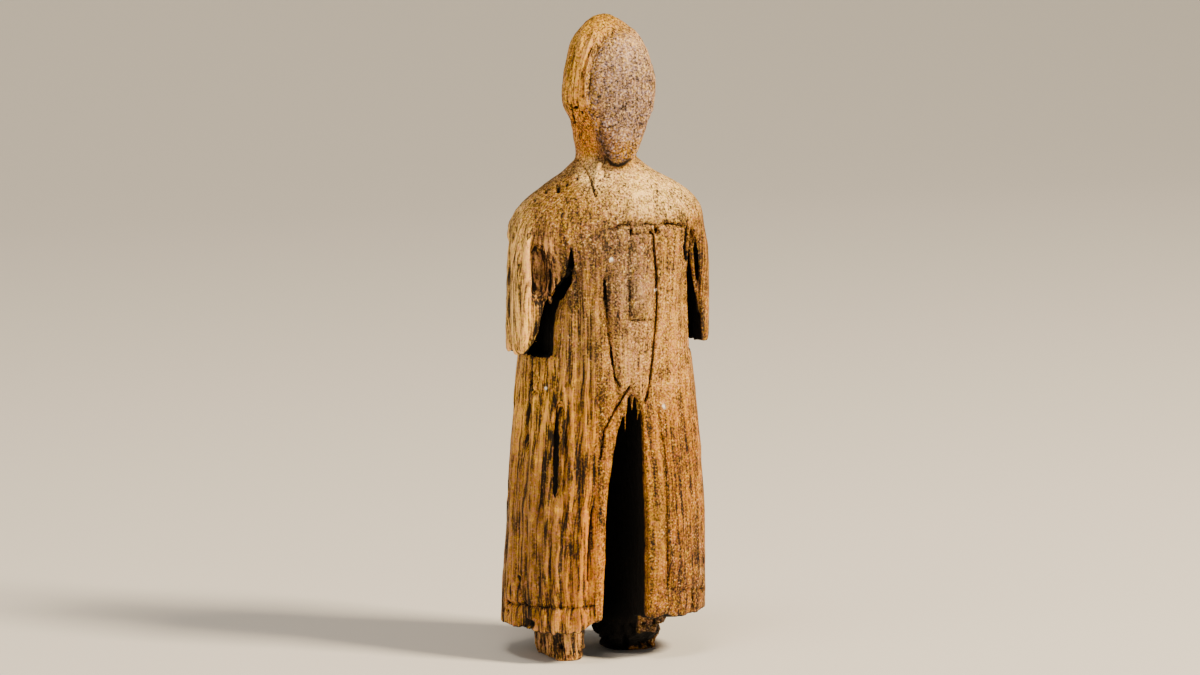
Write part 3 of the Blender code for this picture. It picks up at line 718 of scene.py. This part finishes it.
left_gap = inside_gap(
    34.7, 25.7, -6.45, -8.6,
    ([0.0, 0.27, 0.39, 0.5, 0.58, 1.0], [0.0, 0.2, 0.28, 0.37, 0.46, 0.6, 0.78, 0.95, 1.0]),
    [0.69, 0.68, 0.73, 0.78, 0.81, 0.84], [0.05, 0.08, 0.16, 0.3, 0.42, 0.46, 0.54, 0.8, 0.9])
right_gap = inside_gap(
    36.65, 25.7, 6.45, 8.6,
    ([0.0, 0.2, 1.0], [0.0, 0.2, 0.6, 1.0]),
    [0.89, 0.9, 0.95], [0.06, 0.37, 0.5, 0.55])
# All of shade is painted shade: near black in the slit and the arm gaps, dark in grooves and pits,
# under the hem and the chin, along the face's crease, between the right stump's blocks and on the
# left of the arm's hollow.
cavity = np.maximum.reduce([inside_slit(), left_gap, right_gap])
shade = np.maximum.reduce([
    crack_shade, pit_shade, cavity, 0.85 * under_hem(),
    0.4 * arm_hollow * ramp(middle_grain + 0.5 * small_lumps - 0.25 * (across + 5.5), 0.0, 0.6),
    0.8 * chin_shadow, 0.42 * chin_side_shade, 0.75 * blocks * stumps,
    0.45 * face_crease * (0.35 + 0.65 * ramp(46.6 - z, 0.0, 0.6)),
])
# Relief darkens furrows and lightens ridges in the tone, as dirt and wear and as painted shade and
# light; the hood's ridges get an extra painted highlight.
relief = np.clip(-inward * (1.0 - shade) / 0.4, -1.0 + 0.8 * arm_hollow, 1.0)
relief = np.where(groove > 0.02, np.minimum(relief, 0.0), relief + 5.0 * ridge_rise * head)
print("mean relief:", round(float(relief.mean()), 3))

# %% [markdown]
# Each region of the figure has its own tone: the hood is golden, the face greyish, the neck
# orange brown, the right shoulder pale with dust and a painted highlight, the left panel dark
# between pale ridges. Some ovals paint shade: along the face's left edge, at the chin's lower
# left and on the right stump. A region is a soft oval with a colour, and the colours blend where
# the ovals meet.

# %% Regions of colour
# Each region: across, height, half width, half height, colour, weight.
REGIONS = [
    # Hood, face, chin and neck.
    (0.2, 53.2, 2.0, 1.6, "#ae7824", 2.5),
    (-2.2, 49.5, 1.4, 3.2, "#c88c44", 2.5),
    (1.6, 48.2, 2.5, 4.2, "#806658", 4.5),
    (3.2, 50.5, 1.2, 1.8, "#b89474", 1.5),
    # The next two ovals are painted shade: along the face's left edge and at the chin's lower
    # left.
    (-0.85, 49.4, 0.3, 1.8, "#4a2c12", 4.0),
    (0.25, 43.6, 0.75, 2.0, "#4a2418", 5.0),
    (1.8, 42.5, 0.9, 0.9, "#8a5614", 3.5),
    (-1.5, 44.3, 1.2, 2.0, "#b86818", 4.0),
    (-0.8, 40.8, 1.1, 1.0, "#dcb884", 3.0),
    # Shoulders.
    # Pale dust, and a painted highlight where the light falls on the right shoulder.
    (4.8, 39.5, 3.2, 1.8, "#c8a26e", 3.5),
    (-4.5, 38.6, 3.4, 2.2, "#785428", 2.5),
    # Arms.
    (-7.0, 36.0, 1.1, 3.0, "#c49860", 2.0),
    (-7.2, 30.0, 1.2, 3.5, "#c49860", 2.0),
    (-5.2, 33.0, 1.1, 3.0, "#a07050", 3.0),
    (-5.6, 28.5, 0.9, 1.8, "#b48450", 1.5),
    (8.0, 32.0, 1.0, 5.0, "#784c22", 2.6),
    # Chest and belly.
    (1.2, 35.0, 3.0, 2.2, "#5e4430", 2.6),
    (-2.0, 33.0, 2.0, 2.6, "#5c3c24", 2.2),
    (2.4, 31.6, 1.6, 2.2, "#665040", 2.6),
    (5.4, 31.0, 1.5, 4.5, "#8a6238", 2.2),
    (2.6, 26.4, 1.6, 3.4, "#906c4c", 1.8),
    (5.4, 24.5, 1.6, 4.0, "#a87648", 1.8),
    (-1.8, 28.0, 2.2, 4.0, "#70502e", 2.4),
    # Left and right panel.
    (-5.8, 22.0, 1.8, 4.0, "#b48042", 2.0),
    (-4.8, 12.0, 3.0, 6.0, "#64401e", 2.8),
    (-1.2, 10.0, 1.6, 5.0, "#9a5a26", 2.0),
    (6.4, 17.0, 2.4, 5.0, "#7e4814", 2.6),
    (4.6, 13.0, 0.8, 4.5, "#7e5828", 1.5),
    (6.9, 7.0, 2.2, 3.5, "#6c3c16", 2.6),
    # Feet.
    (-3.8, 1.2, 2.5, 1.2, "#9c6e48", 4.0),
    # The right stump's dark tint is painted shade under the hem.
    (5.2, 2.2, 3.0, 1.2, "#4a301c", 4.0),
]
tint = np.tile(np.array(linear("#84521e")) * 0.5, (count, 1))
weights = np.full(count, 0.5)
for middle, height, half_across, half_up, colour, weight in REGIONS:
    spread = ((across - middle) / half_across) ** 2 + ((z - height) / half_up) ** 2
    share = weight * np.exp(-spread) * ramp(facing, -0.3, 0.3)
    tint += share[:, None] * np.array(linear(colour))
    weights += share
tint /= weights[:, None]
speck = np.zeros(count)
for middle, height in SPECKS:
    speck = np.maximum(speck, ramp(0.16 - np.hypot(across - middle, z - height), 0.0, 0.06) * seen)
print("mean tint:", np.round(tint.mean(axis=0), 3))

# %% [markdown]
# A material can't read these lists. It reads attributes of the mesh, which hold one value for
# each point, so each list is stored as an attribute.


# %% Keep the numbers on the mesh
def keep(name, kind, field, values):
    layer = wood.data.attributes.new(name, kind, "POINT")
    layer.data.foreach_set(field, np.asarray(values, dtype=np.float32).ravel())


keep("grain", "FLOAT_VECTOR", "vector", grain)
keep("shade", "FLOAT", "value", shade)
keep("relief", "FLOAT", "value", relief)
keep("weathering", "FLOAT", "value", weathering)
keep("face", "FLOAT", "value", face)
keep("speck", "FLOAT", "value", speck)
keep("tint", "FLOAT_COLOR", "color", np.column_stack([tint, np.ones(count)]))
print("attributes:", [layer.name for layer in wood.data.attributes])

# %% [markdown]
# The material is old conifer driftwood, cut by knife, then weathered and handled. To the eye it
# is honey brown with dark soft grain, pale hard grain and a peppering of open pores, dull in
# the furrows and a little glossy where hands have rubbed it. Image textures would show every
# fibre, but noise drawn along the grain attribute is sharp at any distance and needs no file.

# %% The wood
driftwood = bpy.data.materials.new("weathered conifer driftwood")
driftwood.use_nodes = True
tree = driftwood.node_tree
shader = tree.nodes["Principled BSDF"]
shader.inputs["Specular IOR Level"].default_value = 0.25


def add_node(kind, settings, inputs):
    node = tree.nodes.new(kind)
    for name, value in settings.items():
        setattr(node, name, value)
    for name, value in inputs.items():
        if isinstance(value, bpy.types.NodeSocket):
            tree.links.new(value, node.inputs[name])
        else:
            node.inputs[name].default_value = value
    return node


def number(name):
    return add_node("ShaderNodeAttribute", {"attribute_name": name}, {}).outputs["Fac"]


grain_at = add_node("ShaderNodeAttribute", {"attribute_name": "grain"}, {}).outputs["Vector"]
tint_at = add_node("ShaderNodeAttribute", {"attribute_name": "tint"}, {}).outputs["Color"]
shade_at = number("shade")
relief_at = number("relief")
weathering_at = number("weathering")
face_at = number("face")
speck_at = number("speck")
place_at = add_node("ShaderNodeTexCoord", {}, {}).outputs["Object"]
print("inputs ready")

# %% [markdown]
# The noises are counted in lumps per millimetre across the grain: growth lines are about 0.4 mm
# apart, fibres 0.12 mm and pores 0.17 mm. Changes of hue are 0.2 mm wide, stains 0.6 mm and
# clouds of pale and dark 1.4 mm, each with finer detail inside.

# %% Noises of the wood
PER_MM = 1.0 / MM

growth = add_node("ShaderNodeTexNoise", {}, {
    "Vector": grain_at, "Scale": 2.6, "Detail": 2.0, "Roughness": 0.6}).outputs["Fac"]
fibre = add_node("ShaderNodeTexNoise", {}, {
    "Vector": grain_at, "Scale": 8.0, "Detail": 1.0, "Roughness": 0.6}).outputs["Fac"]
pores = add_node("ShaderNodeTexNoise", {}, {
    "Vector": place_at, "Scale": 5.8 * PER_MM, "Detail": 2.0, "Roughness": 0.6}).outputs["Fac"]
hues = add_node("ShaderNodeTexNoise", {"noise_dimensions": "4D"}, {
    "Vector": place_at, "W": 7.0, "Scale": 4.5 * PER_MM, "Detail": 1.0, "Roughness": 0.6,
}).outputs["Fac"]
clouds = add_node("ShaderNodeTexNoise", {}, {
    "Vector": place_at, "Scale": 0.7 * PER_MM, "Detail": 5.0, "Roughness": 0.7}).outputs["Fac"]
stains = add_node("ShaderNodeTexNoise", {"noise_dimensions": "4D"}, {
    "Vector": place_at, "W": 3.0, "Scale": 1.6 * PER_MM, "Detail": 5.0, "Roughness": 0.75,
}).outputs["Fac"]
print("noises ready")

# %% [markdown]
# One number, tone, says how dark or pale the wood is at a place: the noises push it up and down
# around a half, and so does the relief: furrows are painted darker, as shade and dirt, and ridges
# paler, as painted light and rubbing, most of all the ridges of the hood.


# %% The tone of the wood
def sum_of(value, factor, plus):
    return add_node("ShaderNodeMath", {"operation": "MULTIPLY_ADD"}, {
        0: value, 1: factor, 2: plus}).outputs[0]


grain_lines = sum_of(fibre, 3.0, sum_of(growth, 4.6, -3.8))
line_amount = sum_of(weathering_at, 0.7, 0.25)
tone = sum_of(grain_lines, line_amount, sum_of(relief_at, 0.45, 0.52))
speckle = sum_of(weathering_at, -1.7, 3.3)
tone = sum_of(sum_of(pores, 1.0, -0.5), speckle, tone)
tone = sum_of(clouds, 1.7, sum_of(tone, 1.0, -0.85))
print("tone ready")

# %% [markdown]
# The tint of the region is made darker or brighter by the tone. Stains shift it towards brown
# or gold, small patches towards grey, most of all on the face, and the hue wavers a little. Last
# come painted glints of highlight where the wood is smooth, thin dark splits between worn
# fibres, the painted shade in the cuts and the pale specks.


# %% Colour of the wood
def share_of(value, low, high, first, last):
    return add_node("ShaderNodeMapRange", {"interpolation_type": "SMOOTHSTEP"}, {
        "Value": value, "From Min": low, "From Max": high, "To Min": first, "To Max": last,
    }).outputs["Result"]


def product(first, second):
    return add_node("ShaderNodeMath", {"operation": "MULTIPLY"}, {0: first, 1: second}).outputs[0]


def mixed(amount, first, second):
    node = add_node("ShaderNodeMix", {"data_type": "RGBA"}, {})
    for index, value in ((0, amount), (6, first), (7, second)):
        if isinstance(value, bpy.types.NodeSocket):
            tree.links.new(value, node.inputs[index])
        else:
            node.inputs[index].default_value = value
    return node.outputs[2]


def paint(hex_colour):
    return (*linear(hex_colour), 1.0)


base = mixed(share_of(stains, 0.5, 0.68, 0.0, 0.45), tint_at, paint("#7a3a10"))
base = mixed(share_of(stains, 0.48, 0.34, 0.0, 0.4), base, paint("#b8842c"))
greyness = product(sum_of(face_at, 0.75, 0.2), share_of(hues, 0.5, 0.62, 0.0, 0.85))
base = mixed(greyness, base, paint("#7a6a6c"))
brightened = add_node("ShaderNodeHueSaturation", {}, {
    "Hue": share_of(hues, 0.3, 0.7, 0.528, 0.496),
    "Saturation": share_of(tone, 0.1, 1.2, 1.12, 1.04),
    "Value": share_of(tone, -0.3, 1.5, 0.04, 2.8),
    "Color": base,
}).outputs["Color"]
from_split = add_node("ShaderNodeMath", {"operation": "ABSOLUTE"}, {
    0: sum_of(fibre, 1.0, -0.46)}).outputs[0]
split = product(share_of(from_split, 0.05, 0.0, 0.0, 1.0), share_of(growth, 0.54, 0.42, 0.0, 1.0))
split = product(split, weathering_at)
# Painted highlights: pale glints mixed into the colour where the wood is smooth.
painted_glints = product(share_of(pores, 0.58, 0.7, 0.0, 0.8), share_of(clouds, 0.42, 0.6, 0.15, 1.0))
painted_glints = product(painted_glints, sum_of(weathering_at, -0.8, 1.0))
colour = mixed(painted_glints, brightened, paint("#f6dca8"))
colour = mixed(split, colour, paint("#1c0e06"))
# Painted shade: the colour goes to near black where shade is high.
colour = mixed(share_of(shade_at, 0.1, 0.75, 0.0, 1.0), colour, paint("#060403"))
colour = mixed(speck_at, colour, paint("#fffaf0"))
tree.links.new(colour, shader.inputs["Base Color"])
print("colour ready")

# %% [markdown]
# Dark furrows are dull, and pale ridges shine a little. The same tone raises and lowers a faint
# bump, for what is finer than the skin's squares.

# %% Roughness and bump
rough = add_node("ShaderNodeMath", {"operation": "MAXIMUM", "use_clamp": True}, {
    0: share_of(tone, 0.0, 1.0, 0.75, 0.45), 1: shade_at}).outputs[0]
tree.links.new(rough, shader.inputs["Roughness"])
bump = add_node("ShaderNodeBump", {}, {
    "Height": tone, "Distance": 0.03 * MM, "Strength": 0.9}).outputs["Normal"]
tree.links.new(bump, shader.inputs["Normal"])
wood.data.materials.clear()
wood.data.materials.append(driftwood)
print("nodes in the wood:", len(tree.nodes))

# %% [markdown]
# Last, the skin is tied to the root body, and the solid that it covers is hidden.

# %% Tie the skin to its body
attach(wood, "root")
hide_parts("figurine")
